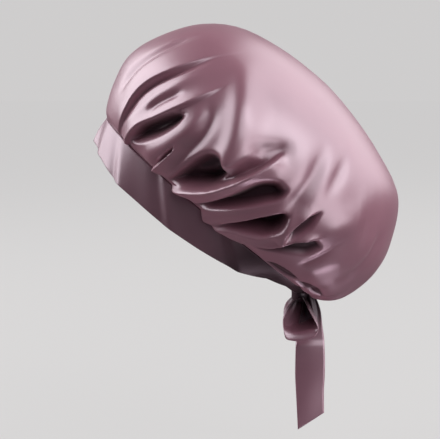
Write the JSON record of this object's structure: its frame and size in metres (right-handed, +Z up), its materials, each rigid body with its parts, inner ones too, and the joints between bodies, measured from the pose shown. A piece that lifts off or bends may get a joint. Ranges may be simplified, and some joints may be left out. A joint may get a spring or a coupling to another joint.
{
  "type": "sleep bonnet",
  "caption": "Puffed satin sleep bonnet: a full crown gathered onto a flat band, tied at the nape in a small bow with hanging ribbon ends.",
  "frame": {"origin": "middle of the head opening, level with the middle of the band, where a head holds the bonnet", "axes": "+Z up, -Y the way the wearer faces, +X the wearer's left; the opening's plane is tilted 40 degrees with the forehead side lifted"},
  "size_m": [0.244, 0.2583, 0.3485],
  "materials": {
    "crown_satin": "glossy satin weave, dusty mauve",
    "band_satin": "satin weave, dusty mauve, pressed flat and stitched along its edges",
    "ribbon_satin": "satin ribbon, dusty mauve"
  },
  "bodies": {
    "root": {"crown": "crown_satin", "band": "band_satin", "knot": "ribbon_satin", "loop_left": "ribbon_satin", "loop_right": "ribbon_satin", "tail_left": "ribbon_satin", "tail_right": "ribbon_satin"}
  },
  "joints": []
}
